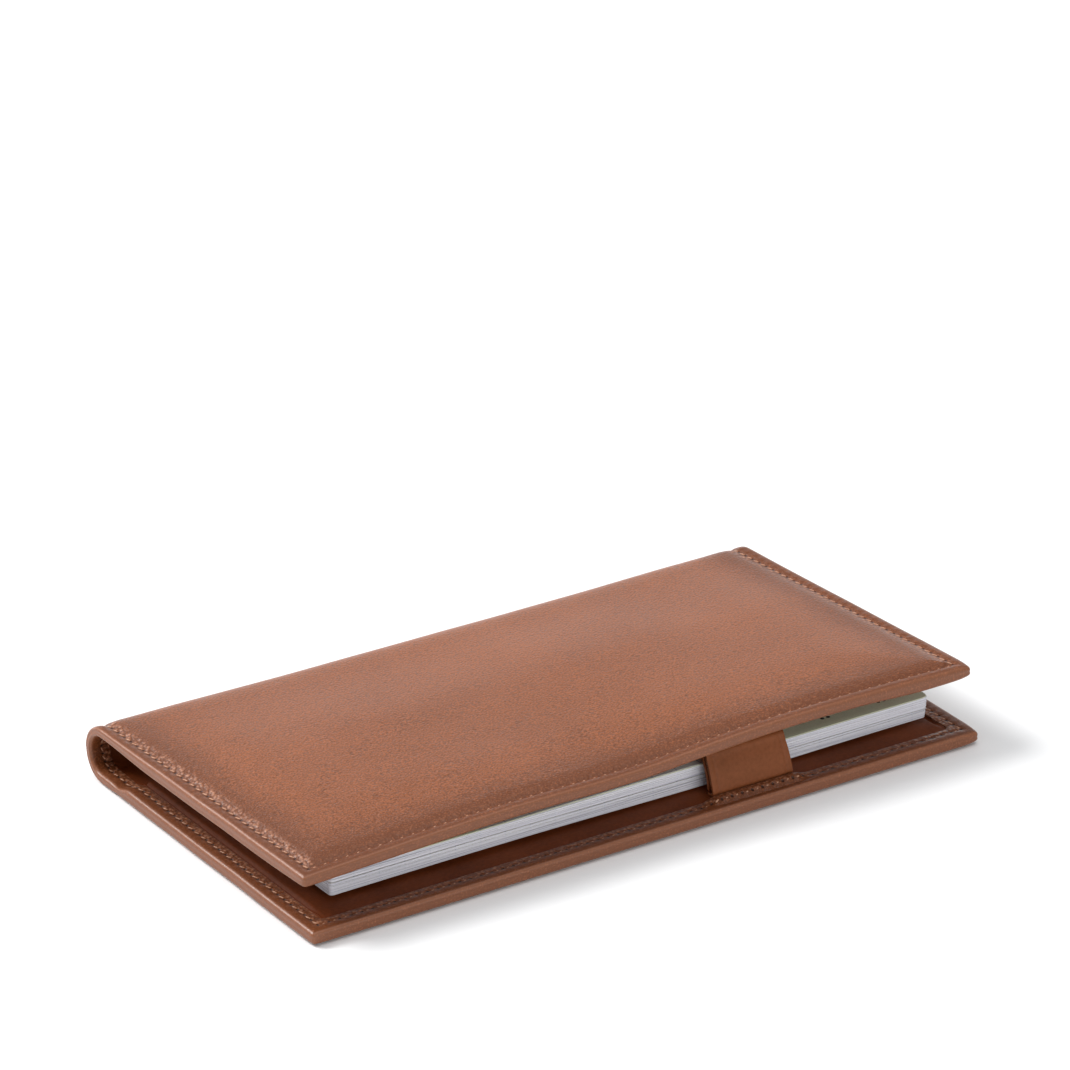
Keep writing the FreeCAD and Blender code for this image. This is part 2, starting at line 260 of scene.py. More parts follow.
def flip(obj):
    """Turns all the faces round."""
    select_only(obj)
    bpy.ops.object.mode_set(mode="EDIT")
    bpy.ops.mesh.select_all(action="SELECT")
    bpy.ops.mesh.flip_normals()
    bpy.ops.object.mode_set(mode="OBJECT")


def ease(value):
    """0 below 0, 1 above 1 and a smooth rise between."""
    value = np.clip(value, 0, 1)
    return value * value * (3 - 2 * value)


def bell(value):
    """1 at 0, fading smoothly to both sides."""
    return np.exp(-value * value)


# ---- the cover as a flat cut: x along the spine, s from the fore edge, h through it ----
def board_end_of(length):
    return BOARD_END - (BACK_LENGTH - length)


def thickness(x, s, length, front):
    """Of the sewn edge: full over the board, less beside the spine; the back dips where its board ends."""
    board_end = board_end_of(length)
    if front:
        pressed = 0.35 * MM * bell(s / (9 * MM)) * (1 - 1.8 * bell((x - 74 * MM) / (13 * MM)))
        return HEM - pressed - (HEM - FLEX_HEM) * ease((s - board_end + 16 * MM) / (22 * MM))
    thin = ease((s - board_end + 4 * MM) / (4.5 * MM))
    nick = 0.22 * MM * bell((s - board_end - 1.2 * MM) / (1.8 * MM))
    return HEM - (HEM - FLEX_HEM) * thin - nick


def waviness(x, s, seed):
    """The small unevenness of hand-turned leather."""
    a = np.sin(x / (9.1 * MM) + seed) * np.cos(s / (7.3 * MM) - seed)
    b = np.sin(x / (4.3 * MM) - 2 * seed + 1.7 * np.sin(s / (11 * MM)))
    c = np.sin(s / (5.1 * MM) + seed + 1.3 * np.sin(x / (13 * MM)))
    return (0.5 * a + 0.25 * b + 0.25 * c) * 0.06 * MM


def edge_distance(x, s):
    """To the nearest sewn edge."""
    return np.minimum(END_X - np.abs(x), s)


def at_corner(x, s):
    """1 at the right fore corner, where the leather is skived and drawn round, and less at the left."""
    return bell(np.hypot(END_X - np.abs(x), s) / (2.6 * MM)) * np.where(x > 0, 1, 0.15)


def outside(x, s, length, front):
    """Height of the outer face: the seam lies in a valley and the padding swells inside it."""
    d = edge_distance(x, s)
    valley = 0.34 * MM * bell((d - INSET) / (0.8 * MM))
    to_spine = ease((s - (length - QUARTER * 1.3)) / (QUARTER * 1.3))
    if front:
        swell = PUFF + (SPINE_PUFF - PUFF) * to_spine
        rise = 0.42 * ease((d - 2.8 * MM) / (5 * MM)) + 0.58 * ease((d - 3.5 * MM) / SWELL_WIDTH)
        low = 0.12 * MM + 0.3 * MM * at_corner(x, s)
        return low + valley * 1.15 - swell * rise + waviness(x, s, 2.0) * ease(d / (4 * MM))
    swell = SPINE_PUFF * to_spine
    lifted = 0.22 * MM * (1 - ease((d - 1 * MM) / (6 * MM))) + 0.25 * MM * at_corner(x, s)
    at_end = bell((END_X - np.abs(x)) / (3 * MM))
    nick = 0.3 * MM * bell((s - board_end_of(length) - 0.6 * MM) / (1.6 * MM)) * at_end
    return lifted + valley + nick - swell * ease((d - 2.2 * MM) / (5 * MM))


def over_foot(x, s):
    """The hem's rise over the pen loop's foot, with a valley outside it."""
    half = (LOOP_HIGH.x - LOOP_LOW.x) / 2
    across = np.abs(x - (LOOP_LOW.x + LOOP_HIGH.x) / 2)
    window = 1 - ease((across - half) / (2.6 * MM))
    rise = 1.0 * MM * ease((s - 1.9 * MM) / (2.0 * MM)) * (1 - ease((s - 9 * MM) / (2 * MM)))
    return window * (rise - 0.3 * MM * bell((s - 2.1 * MM) / (0.6 * MM)))


def pleats(s, d, length):
    """Small folds where the turned-in edge is gathered round the inside of the spine."""
    near_spine = ease((s - (length - QUARTER - 2 * MM)) / (3 * MM))
    wave = np.sin(s / (0.36 * MM) + 1.6 * np.sin(s / (1.9 * MM)))
    return 0.24 * MM * wave * bell((d - 4.5 * MM) / (1.0 * MM)) * near_spine


def inside(x, s, length, front):
    """Height of the turned-in edge's face."""
    d = edge_distance(x, s)
    valley = 0.26 * MM * bell((d - INSET) / (0.7 * MM))
    sink = 0.25 * MM * ease((d - 3.4 * MM) / (2 * MM)) + 0.3 * MM * at_corner(x, s)
    height = thickness(x, s, length, front) - valley - sink + waviness(x, s, 5.0) * 0.8
    height = height + pleats(s, d, length)
    return height if front else height + over_foot(x, s)


def shaped(obj, length, front):
    """Gives the flat hemmed sheet its swelling, valleys and unevenness."""
    x, s, h = places(obj)
    k = np.clip(h / HEM, 0, 1)
    low = outside(x, s, length, front)
    high = inside(x, s, length, front)
    edge = bell(edge_distance(x, s) / (1.5 * MM))
    wander = waviness(x * 1.3, s * 1.3, 9.0) * 1.6 * edge
    drawn = 0.2 * MM * at_corner(x, s)
    x = x + np.sign(x) * (wander * (END_X - np.abs(x) < s) - drawn)
    move(obj, x, s + drawn, low + k * (high - low))


def rolled(x, s, h, length):
    """Rolls a flat point's last quarter turn round the spine."""
    straight = length - QUARTER
    angle = np.clip(s - straight, 0, None) / RADIUS
    radius = RADIUS - h
    y = AXIS_Y - straight + np.minimum(s, straight) + radius * np.sin(angle)
    z = AXIS_Z - radius * np.cos(angle)
    return x, y, z


def opened(x, y, z, s, length):
    """Mirrors a point of the back to the front, which stands open and is a little twisted."""
    z = 2 * AXIS_Z - z
    share = 1 - ease((s - (length - QUARTER)) / QUARTER)
    along = x / END_X
    angle = (OPENING + TWIST * along) * share
    reach = np.clip((AXIS_Y - y) / (90 * MM), 0, 1)
    lift = BOW * (1 - along ** 2) - DROOP * along ** 3 - DIP * bell((x + 3 * MM) / (24 * MM))
    z = z + lift * reach - SPINE_SAG * (1 - along ** 4) * (1 - ease(reach * 2.5)) * share
    dy = y - FRONT_HINGE.y
    dz = z - FRONT_HINGE.z
    y = FRONT_HINGE.y + dy * np.cos(angle) + dz * np.sin(angle)
    z = FRONT_HINGE.z - dy * np.sin(angle) + dz * np.cos(angle)
    return x, y, z


def fold(obj, front):
    """Takes a flat piece to its place on the back or the front."""
    x, s, h = places(obj)
    length = FRONT_LENGTH if front else BACK_LENGTH
    x, y, z = rolled(x, s, h, length)
    if front:
        x, y, z = opened(x, y, z, s, length)
    move(obj, x, y, z)
    if front:
        flip(obj)


def flat_map(obj, name="Cut"):
    """A UV map that keeps the flat cut's own metres, so that a pattern follows the sheet."""
    x, s, _ = places(obj)
    layer = obj.data.uv_layers.new(name=name)
    index = np.empty(len(obj.data.loops), np.int64)
    obj.data.loops.foreach_get("vertex_index", index)
    layer.data.foreach_set("uv", np.stack((x[index], s[index]), axis=1).astype(np.float32).ravel())


def attach(obj, front, bends):
    """A piece that does not bend is attached to its cover's body; a piece that runs round the spine only
    has its place baked into its mesh.
    """
    if not bends:
        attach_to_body(obj, "front" if front else "back")
        return

    if front:
        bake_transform(obj)
    else:
        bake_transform(obj)


# ---- materials -------------------------------------------------------------------------
def colour(code):
    """A hex sRGB colour as linear RGBA."""
    values = [int(code[n:n + 2], 16) / 255 for n in (1, 3, 5)]
    linear = [v / 12.92 if v <= 0.04045 else ((v + 0.055) / 1.055) ** 2.4 for v in values]
    return (*linear, 1)


def add(material, kind, *values, out=0, stops=(), **settings):
    """Adds a node with its settings, values and links, and gives one of its outputs.

    Values go to the inputs in order, or by key from a dict; a value may be another node's output.
    Stops are a ramp's places and hex colours."""
    tree = material.node_tree
    node = tree.nodes.new("ShaderNode" + kind)
    for key, value in settings.items():
        setattr(node, key, value)
    inputs = values[0] if values and isinstance(values[0], dict) else dict(enumerate(values))
    for key, value in inputs.items():
        if isinstance(value, bpy.types.NodeSocket):
            tree.links.new(value, node.inputs[key])
        else:
            node.inputs[key].default_value = value
    for n, (place, code) in enumerate(stops):
        elements = node.color_ramp.elements
        element = elements[n] if n < 2 else elements.new(place)
        element.position = place
        element.color = colour(code)
    return node.outputs[out]


def surface(name, **values):
    """A new material and its principled shader, with the values that are the same all over."""
    material = bpy.data.materials.new(name)
    material.use_nodes = True
    shader = material.node_tree.nodes["Principled BSDF"]
    for key, value in values.items():
        shader.inputs[key.replace("_", " ")].default_value = value
    return material, shader


def link(material, output, target):
    material.node_tree.links.new(output, target)


def band(material, value, middle, width):
    """A bell-shaped stripe: 1 where value is middle, fading over width."""
    off = add(material, "Math", value, middle, operation="SUBTRACT")
    scaled = add(material, "Math", off, width, operation="DIVIDE")
    square = add(material, "Math", scaled, scaled, operation="MULTIPLY")
    negative = add(material, "Math", square, -1.0, operation="MULTIPLY")
    return add(material, "Math", negative, operation="EXPONENT")


def seam_pattern(material, length, fore_pull):
    """(needle holes, gathers, crinkle, distance from the nearest sewn edge) from the flat cut's map.

    fore_pull is how hard the fore edge's row is drawn, where the rows at the ends are 1."""
    cut_map = add(material, "UVMap", uv_map="Cut")
    u = add(material, "SeparateXYZ", cut_map)
    v = add(material, "SeparateXYZ", cut_map, out=1)
    from_middle = add(material, "Math", u, operation="ABSOLUTE")
    side = add(material, "Math", END_X, from_middle, operation="SUBTRACT")
    side_pitch, fore_pitch = seam_pitches(length)
    rows = ((side, v, side_pitch, INSET, v, 1.0), (v, u, fore_pitch, INSET - END_X, side, fore_pull))
    holes, gathers, crinkles = [], [], []
    for distance, along, pitch, start, other, pull in rows:
        off = add(material, "Math", distance, INSET, operation="SUBTRACT")
        past_start = add(material, "Math", along, start, operation="SUBTRACT")
        phase = add(material, "Math", past_start, pitch, operation="DIVIDE")
        whole = add(material, "Math", phase, operation="ROUND")
        step = add(material, "Math", phase, whole, operation="SUBTRACT")
        near = add(material, "Math", step, pitch / HOLE, operation="MULTIPLY")
        across = add(material, "Math", off, HOLE, operation="DIVIDE")
        squares = [add(material, "Math", value, value, operation="MULTIPLY") for value in (near, across)]
        outward = add(material, "Math", *squares, operation="ADD")
        depth = add(material, "Math", 1.0, outward, operation="SUBTRACT")
        hole = add(material, "Math", depth, 0.0, operation="MAXIMUM")
        past_corner = add(material, "Math", other, INSET - 0.5 * MM, operation="GREATER_THAN")
        drawn = add(material, "Math", past_corner, pull, operation="MULTIPLY")
        holes.append(add(material, "Math", hole, drawn, operation="MULTIPLY"))
        turn = add(material, "Math", phase, 2 * math.pi, operation="MULTIPLY")
        wave = add(material, "Math", turn, operation="COSINE")
        pulled_wave = add(material, "Math", wave, drawn, operation="MULTIPLY")
        beside = band(material, off, 0.0, GATHER_WIDTH)
        gathers.append(add(material, "Math", pulled_wave, beside, operation="MULTIPLY"))
        within = band(material, off, CRINKLE_IN, CRINKLE_WIDTH)
        crinkles.append(add(material, "Math", within, drawn, operation="MULTIPLY"))
    either = [add(material, "Math", *pair, operation="MAXIMUM") for pair in (holes, crinkles)]
    both = add(material, "Math", *gathers, operation="ADD")
    nearest = add(material, "Math", side, v, operation="MINIMUM")
    return either[0], both, either[1], nearest


def calf_leather(name, length, fore_pull):
    """Aniline-dyed calf, plated and lightly waxed: a fine pebble grain with a soft satin glow.

    It is painted darker towards the sewn edges, as shade where the sheen falls off, and the turned edge is
    rubbed paler and glossier. The crowns of the puckers beside the seams get painted highlights, and the
    needle holes painted shade."""
    material, shader = surface(name, IOR=1.48, Specular_IOR_Level=0.42, Sheen_Weight=0.02,
                               Sheen_Roughness=0.5)
    place = add(material, "TexCoord", out="Object")
    hole, gather, crinkle, nearest = seam_pattern(material, length, fore_pull)
    pebbles = add(material, "TexVoronoi", {"Vector": place, "Scale": 1 / PEBBLE, "Smoothness": 0.4},
                  feature="SMOOTH_F1")
    puckers = add(material, "TexVoronoi", {"Vector": place, "Scale": 1 / PUCKER, "Smoothness": 0.3},
                  feature="SMOOTH_F1")
    fine = add(material, "TexNoise", {"Vector": place, "Scale": 1 / PORE, "Detail": 1.0})
    cloud = add(material, "TexNoise", {"Vector": place, "Scale": 1 / DYE_CLOUD, "Detail": 3.0})

    uneven = add(material, "Math", cloud, 0.16, operation="MULTIPLY")
    mottle = add(material, "Math", fine, 0.84, uneven, operation="MULTIPLY_ADD")
    # painted shade: the leather is darkened towards the sewn edges, where the sheen falls off
    edge_shade = add(material, "MapRange", nearest, 3 * MM, 17 * MM, 0.17, 0.0, interpolation_type="SMOOTHSTEP")
    tone = add(material, "Math", mottle, edge_shade, operation="SUBTRACT")
    dyed = add(material, "ValToRGB", tone, stops=((0.35, CALF_DEEP), (0.66, CALF_LIGHT)))
    at_edge = band(material, nearest, 0.35 * MM, 0.4 * MM)
    rubbed = add(material, "Math", at_edge, 0.3, operation="MULTIPLY")
    edges = add(material, "Mix", {0: rubbed, 6: dyed, 7: colour(CALF_WORN_AND_HIGHLIGHT)}, data_type="RGBA", out=2)
    # painted highlights: paler flecks on the crowns of the puckers beside each seam, where the small folds
    # catch the light
    crown = add(material, "MapRange", puckers, 0.15, 0.55, 0.75, 0.0)
    crown_highlights = add(material, "Math", crinkle, crown, operation="MULTIPLY")
    pale = add(material, "Mix", {0: crown_highlights, 6: edges, 7: colour(CALF_WORN_AND_HIGHLIGHT)}, data_type="RGBA", out=2)
    # painted shade: the needle holes are coloured dark
    twice = add(material, "Math", hole, 2.0, operation="MULTIPLY")
    sunk = add(material, "Math", twice, 1.0, operation="MINIMUM")
    pierced = add(material, "Mix", {0: sunk, 6: pale, 7: colour(CALF_HOLE_SHADE)}, data_type="RGBA", out=2)
    link(material, pierced, shader.inputs["Base Color"])

    shine = add(material, "MapRange", fine, 0.3, 0.7, 0.36, 0.5)
    polish = add(material, "Math", rubbed, -0.25, shine, operation="MULTIPLY_ADD")
    link(material, polish, shader.inputs["Roughness"])

    pores = add(material, "Math", fine, 0.6, operation="MULTIPLY")
    grain = add(material, "Math", pebbles, 0.6, pores, operation="MULTIPLY_ADD")
    burnished = add(material, "MapRange", nearest, 0.8 * MM, 3.2 * MM, 0.2, 1.0)
    grain = add(material, "Math", grain, burnished, operation="MULTIPLY")
    grain_bump = add(material, "Bump", {"Height": grain, "Strength": 1.0, "Distance": 0.15 * MM})
    sunk_pucker = add(material, "Math", puckers, -0.9, operation="MULTIPLY")
    ruffle = add(material, "Math", crinkle, sunk_pucker, operation="MULTIPLY")
    gathered = add(material, "Math", gather, -0.28, ruffle, operation="MULTIPLY_ADD")
    seam_height = add(material, "Math", gathered, hole, operation="SUBTRACT")
    seam_bump = add(material, "Bump", {"Height": seam_height, "Strength": 1.0, "Distance": 0.26 * MM,
                                       "Normal": grain_bump})
    link(material, seam_bump, shader.inputs["Normal"])
    return material


def plain_leather(name, light, deep, roughness):
    """The same calf, split thinner, for linings and the pen loop: even, and duller than the outside."""
    material, shader = surface(name, Roughness=roughness, IOR=1.45, Specular_IOR_Level=0.2)
    place = add(material, "TexCoord", out="Object")
    fine = add(material, "TexNoise", {"Vector": place, "Scale": 1 / SPLIT_GRAIN, "Detail": 3.0})
    cloud = add(material, "TexNoise", {"Vector": place, "Scale": 1 / SPLIT_CLOUD, "Detail": 3.0})
    uneven = add(material, "Math", cloud, 0.6, operation="MULTIPLY")
    tone = add(material, "Math", fine, 0.4, uneven, operation="MULTIPLY_ADD")
    dyed = add(material, "ValToRGB", tone, stops=((0.3, deep), (0.68, light)))
    link(material, dyed, shader.inputs["Base Color"])
    bump = add(material, "Bump", {"Height": fine, "Strength": 0.45, "Distance": 0.06 * MM})
    link(material, bump, shader.inputs["Normal"])
    return material


def waxed_thread(name, light, deep):
    """Bonded thread with a wax finish: two plies that catch the light along their twist."""
    material, shader = surface(name, Roughness=0.42, Sheen_Weight=0.1, Sheen_Roughness=0.4)
    place = add(material, "TexCoord", out="Object")
    fibres = add(material, "TexNoise", {"Vector": place, "Scale": 1 / TWIST_STEP, "Detail": 2.0})
    tone = add(material, "ValToRGB", fibres, stops=((0.3, deep), (0.7, light)))
    link(material, tone, shader.inputs["Base Color"])
    plies = add(material, "TexWave", {"Vector": place, "Scale": 1 / TWIST_STEP, "Distortion": 1.0},
                out="Fac", bands_direction="DIAGONAL")
    bump = add(material, "Bump", {"Height": plies, "Strength": 0.5, "Distance": 0.05 * MM})
    link(material, bump, shader.inputs["Normal"])
    return material


def paper_stock(name):
    """Uncoated wood-free paper, guillotined: fine grey lines at the cut edges, painted as shade between the
    sheets, and faint rules on the pages.
    """
    material, shader = surface(name, Roughness=0.85, Specular_IOR_Level=0.25)
    place = add(material, "TexCoord", out="Object")
    streak = (1 / (60 * MM), 1 / (60 * MM), 1 / SHEET_LINE)
    squeezed = add(material, "Mapping", {"Vector": place, "Scale": streak})
    edges = add(material, "TexNoise", {"Vector": squeezed, "Scale": 1.0, "Detail": 2.0})
    # painted shade: the darker grey stripes, about a sheet apart, stand for the shade between the sheets at
    # the cut edge
    greys = ((0.28, "#9A9AA8"), (0.42, "#DCDCE6"), (0.6, "#F0F0F6"))
    cut_edge = add(material, "ValToRGB", edges, stops=greys)
    normal = add(material, "NewGeometry", out="Normal")
    upward = add(material, "SeparateXYZ", normal, out=2)
    level = add(material, "Math", upward, operation="ABSOLUTE")
    page = add(material, "Math", level, 0.8, operation="GREATER_THAN")
    along = add(material, "SeparateXYZ", place)
    rows = add(material, "Math", along, RULING / 2, operation="PINGPONG")
    on_line = add(material, "Math", rows, RULE_WIDTH / 2, operation="LESS_THAN")
    ivory, rule = colour("#D6D4CE"), colour("#A9AFB8")
    ruled = add(material, "Mix", {0: on_line, 6: ivory, 7: rule}, data_type="RGBA", out=2)
    sheet = add(material, "Mix", {0: page, 6: cut_edge, 7: ruled}, data_type="RGBA", out=2)
    link(material, sheet, shader.inputs["Base Color"])
    bump = add(material, "Bump", {"Height": edges, "Strength": 0.4, "Distance": 0.08 * MM})
    link(material, bump, shader.inputs["Normal"])
    return material


def fibre_stock(name, light, deep, fibre):
    """Pressed fibre: card, greyboard or felt, matt, with a short mottled fibre."""
    material, shader = surface(name, Roughness=0.9, Specular_IOR_Level=0.2)
    place = add(material, "TexCoord", out="Object")
    mottle = add(material, "TexNoise", {"Vector": place, "Scale": 1 / fibre, "Detail": 4.0,
                                        "Roughness": 0.7})
    tone = add(material, "ValToRGB", mottle, stops=((0.3, deep), (0.7, light)))
    link(material, tone, shader.inputs["Base Color"])
    bump = add(material, "Bump", {"Height": mottle, "Strength": 0.3, "Distance": 0.05 * MM})
    link(material, bump, shader.inputs["Normal"])
    return material


def dress(obj, material, slot, *nodes):
    """Gives a piece its material, unless it has one already, and hides the CAD nodes that it stands for.
    The slot is not used.
    """
    if not obj.data.materials:
        obj.data.materials.append(material)
    if nodes:
        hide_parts(*nodes)


# ---- the cover leather -----------------------------------------------------------------
def hem_profile():
    """(distance from the edge, height) from the outer face round the roll to the turned-in edge."""
    flat = [4.8 * MM, 4.0 * MM, INSET, 2.5 * MM, 1.7 * MM]
    turns = [math.radians(a) for a in (0, 30, 60, 90)]
    outer = [(distance, 0) for distance in flat]
    outer += [(ROLL * (1 - math.sin(a)), ROLL * (1 - math.cos(a))) for a in turns]
    inner = [(distance, HEM - height) for distance, height in reversed(outer)]
    crease = [(0.14 * MM, HEM / 2)]
    return outer + crease + inner + [(TURN, HEM), (TURN, HEM - 0.15 * MM)]


def cover_leather(name, front):
    """The cut sheet: its three outer edges are rolled up, over and in along the hem's profile."""
    length = FRONT_LENGTH if front else BACK_LENGTH
    start = 6.5 * MM          # where the flat middle of the sheet ends and the hem begins
    beside_hem = start + 1.6 * MM
    step, bent_step = 7.5 * MM, 1.7 * MM
    obj = flat_sheet(name, (start - END_X, start), (END_X - start, length))
    cut(0, evenly(start - END_X, END_X - start, step) + [beside_hem - END_X, END_X - beside_hem])
    bend = length - QUARTER - 10 * MM
    cut(1, [beside_hem] + evenly(start, bend, step) + [bend] + evenly(bend, length, bent_step))
    cut(1, [length - 0.8 * MM, length - 0.2 * MM])
    pick(obj, "edges", lambda e: e.is_boundary and min(v.co.y for v in e.verts) < length - 0.1 * MM)
    reach, height = start, 0
    for distance, level in hem_profile():
        bpy.ops.mesh.extrude_edges_move()
        scale = ((END_X - distance) / (END_X - reach), (length - distance) / (length - reach), 1)
        bpy.ops.transform.resize(value=scale, center_override=(0, length, 0))
        bpy.ops.transform.translate(value=(0, 0, level - height))
        reach, height = distance, level
    end()
    finish_with(obj, "SUBSURF", levels=2, render_levels=2)
    flat_map(obj)
    shaped(obj, length, front)
    fold(obj, front)
    finish_with(obj, "SOLIDIFY", thickness=SKIN, offset=-1)
    smooth(obj, 60)
    return obj


# ---- the layers inside -----------------------------------------------------------------
def layer(name, front, inset, reach, low, high):
    """A soft flat layer; low and high give its faces' heights from x and s."""
    length = FRONT_LENGTH if front else BACK_LENGTH
    obj = block(name, (inset - END_X, inset, 0), (END_X - inset, reach, 1 * MM))
    pick(obj, "edges", lambda e: abs(e.verts[0].co.z - e.verts[1].co.z) > 0.5 * MM)
    bpy.ops.mesh.bevel(offset=1.5 * MM, segments=3)
    beside_hem = [END_X - TURN - n * 0.3 * MM for n in range(7)]
    cut(0, evenly(inset - END_X, END_X - inset, 6 * MM) + beside_hem + [-place for place in beside_hem])
    cut(1, evenly(inset, reach, 3 * MM))
    end()
    flat_map(obj)
    x, s, h = places(obj)
    bottom = low(x, s)
    move(obj, x, s, bottom + (high(x, s) - bottom) * h / MM)
    fold(obj, front)
    smooth(obj, 50)
    return obj


def groove(x, s):
    """The gap left between the side hems and the pocket; it ends short of the fore corners."""
    past_hem = END_X - np.abs(x) - TURN
    return 0.75 * MM * bell((past_hem - 0.8 * MM) / (0.5 * MM)) * ease((s - 7 * MM) / (2 * MM))


def pocket_top(x, s, length, front):
    """The pocket's face: level, but pressed down under the turned-in edge."""
    level = POCKET_TOP - groove(x, s)
    under_hem = inside(x, s, length, front) - SKIN - GLUE
    return np.where(edge_distance(x, s) < TURN + 0.05 * MM, np.minimum(level, under_hem), level)


def lining_top(s, length):
    """The lining drops from the board to the leather beside the spine."""
    drop = ease((s - board_end_of(length) + 1 * MM) / (3 * MM))
    return LINING_TOP - (LINING_TOP - LINING_AT_SPINE) * drop


# ---- seams -----------------------------------------------------------------------------
def seam_pitches(length):
    """Whole stitches between the corners, and from a corner to the middle of the spine."""
    side = (length - INSET) / round((length - INSET) / PITCH)
    fore = 2 * (END_X - INSET) / round(2 * (END_X - INSET) / PITCH)
    return side, fore


def one_stitch(pitch):
    """A short slanting bar of thread, high in the middle, with its ends drawn down into the holes."""
    half = pitch * 0.34
    obj = block("stitch", (-half, -THREAD_HALF, -0.12 * MM), (half, THREAD_HALF, 0.12 * MM))
    cut(0, [-0.62 * half, 0, 0.62 * half])
    pick(obj, "edges", lambda e: abs(e.verts[0].co.x - e.verts[1].co.x) > 0.1 * MM)
    bpy.ops.mesh.bevel(offset=0.09 * MM, segments=1)
    end()
    x, y, z = places(obj)
    near_end = np.abs(x) / half
    lifted = z * (1 - 0.3 * near_end) + 0.02 * MM - 0.3 * MM * near_end ** 3
    move(obj, x, y * (1 - 0.4 * near_end ** 3) + 0.28 * x, lifted)
    return obj


def seam(name, front, face):
    """The row of stitches on the outer or the inner face, round three sides and on to the spine."""
    length = FRONT_LENGTH if front else BACK_LENGTH
    side, fore = seam_pitches(length)
    pattern = one_stitch((side + fore) / 2)
    spots = []
    for n in range(round(2 * (END_X - INSET) / fore)):
        spots.append((INSET - END_X + (n + 0.5) * fore, INSET, 0))
    for n in range(round((length - INSET) / side)):
        for edge, turn in ((INSET - END_X, math.pi / 2), (END_X - INSET, -math.pi / 2)):
            spots.append((edge, INSET + (n + 0.5) * side, turn))
    copies = []
    for x, s, turn in spots:
        stitch = pattern.copy()
        stitch.data = pattern.data.copy()
        bpy.context.collection.objects.link(stitch)
        lean = turn + math.radians(RANDOM.uniform(-3, 3))
        stitch.data.transform(Matrix.Translation((x, s, 0)) @ Matrix.Rotation(lean, 4, "Z"))
        copies.append(stitch)
    bpy.data.objects.remove(pattern)
    obj = join(name, copies)
    x, s, h = places(obj)
    s = np.minimum(s, length)
    h = h - 0.1 * MM * (s < INSET + 0.5 * MM)      # the fore edge's stitches are drawn in deeper
    surface_height = outside(x, s, length, front) if face == "outside" else inside(x, s, length, front)
    h = surface_height + (-h if face == "outside" else h)
    move(obj, x, s, h)
    if face == "outside":
        flip(obj)
    fold(obj, front)
    smooth(obj, 60)
    return obj


# ---- the pen loop ----------------------------------------------------------------------
def pen_loop():
    """A strap folded on itself, lying flat while it is empty: up, over the top and down behind."""
    low = LOOP_LOW.z + LOOP_WALL / 2
    front_y = LOOP_LOW.y + LOOP_WALL / 2
    back_y = LOOP_HIGH.y - LOOP_WALL / 2
    top = LOOP_HIGH.z - LOOP_WALL / 2
    radius = LOOP_TOP_RADIUS
    middle = (LOOP_LOW.x + LOOP_HIGH.x) / 2
    half = (LOOP_HIGH.x - LOOP_LOW.x - 0.6 * MM) / 2
    path = [(front_y + 2.5 * MM, low), (front_y + 0.9 * MM, low), (front_y + 0.1 * MM, low + 0.35 * MM)]
    path += [(front_y + 0.25 * MM, low + 1.1 * MM), (front_y + 1.1 * MM, low + 3.4 * MM)]
    path += [(front_y + 2.0 * MM, low + 5.6 * MM), (back_y - 2 * radius - 0.05 * MM, top - 1.4 * MM)]
    for n in range(5):
        a = math.pi * (0.92 - 0.92 * n / 4)
        path.append((back_y - radius + radius * math.cos(a), top - radius + radius * math.sin(a)))
    path += [(front_y + 3.4 * MM, low + 5.6 * MM), (front_y + 2.5 * MM, low + 3.4 * MM)]
    path += [(front_y + 2.0 * MM, low + 1.6 * MM), (front_y + 2.3 * MM, low + 0.72 * MM)]
    bpy.ops.object.select_all(action="DESELECT")
    bpy.ops.mesh.primitive_plane_add(size=1)
    obj = bpy.context.object
    obj.scale = (half * 2, path[0][0] - path[1][0], 1)
    obj.location = (middle, (path[0][0] + path[1][0]) / 2, low)
    begin("pen_loop_strap")
    pick(obj, "edges", lambda e: max(v.co.y for v in e.verts) < path[1][0] + 0.01 * MM)
    for a, b in zip(path[1:], path[2:]):
        bpy.ops.mesh.extrude_edges_move()
        bpy.ops.transform.translate(value=(0, b[0] - a[0], b[1] - a[1]))
    rows = [half - LOOP_EDGE, half - LOOP_EDGE - 0.5 * MM, half - 0.5 * MM, half * 0.55, half * 0.2]
    cut(0, [middle + side * row for row in rows for side in (-1, 1)])
    end()
    finish_with(obj, "SUBSURF", levels=2, render_levels=2)
    obj.data.materials.append(LINING)
    obj.data.materials.append(STRAP)
    finish_with(obj, "SOLIDIFY", thickness=LOOP_WALL, offset=0, material_offset=1, material_offset_rim=1)
    finish_with(obj, "BEVEL", width=0.2 * MM, segments=2, limit_method="ANGLE")
    x, y, z = places(obj)
    rise = np.clip((z - low) / (top - low), 0, 1)
    across = (x - middle) / half
    outward = 0.22 * MM * np.sin(np.pi * rise) * (1 - across ** 2) * (y < back_y - 1.2 * MM)
    off_edge = np.abs(x - middle) - half + LOOP_EDGE
    crease = 0.12 * MM * bell(off_edge / (0.3 * MM)) * (y < back_y - 0.8 * MM)
    move(obj, x + 0.15 * MM * np.sin(rise * 3 + 1) * across, y - outward + crease, z)
    smooth(obj, 50)
    return obj


def loop_foot():
    """The strap's foot, sewn in under the hem, which rises over it."""
    stop = TURN + 0.5 * MM
    obj = block("pen_loop_foot_strap", (LOOP_LOW.x, FOOT_HEEL, 0), (LOOP_HIGH.x, stop, 1 * MM))
    cut(0, evenly(LOOP_LOW.x, LOOP_HIGH.x, 2 * MM))
    cut(1, evenly(FOOT_HEEL, stop, 0.6 * MM))
    end()
    x, s, h = places(obj)
    high = np.maximum(inside(x, s, BACK_LENGTH, False) - SKIN * 0.6, FOOT_BOTTOM + 0.1 * MM)
    move(obj, x, s, FOOT_BOTTOM + (high - FOOT_BOTTOM) * h / MM)
    fold(obj, False)
    smooth(obj, 50)
    return obj


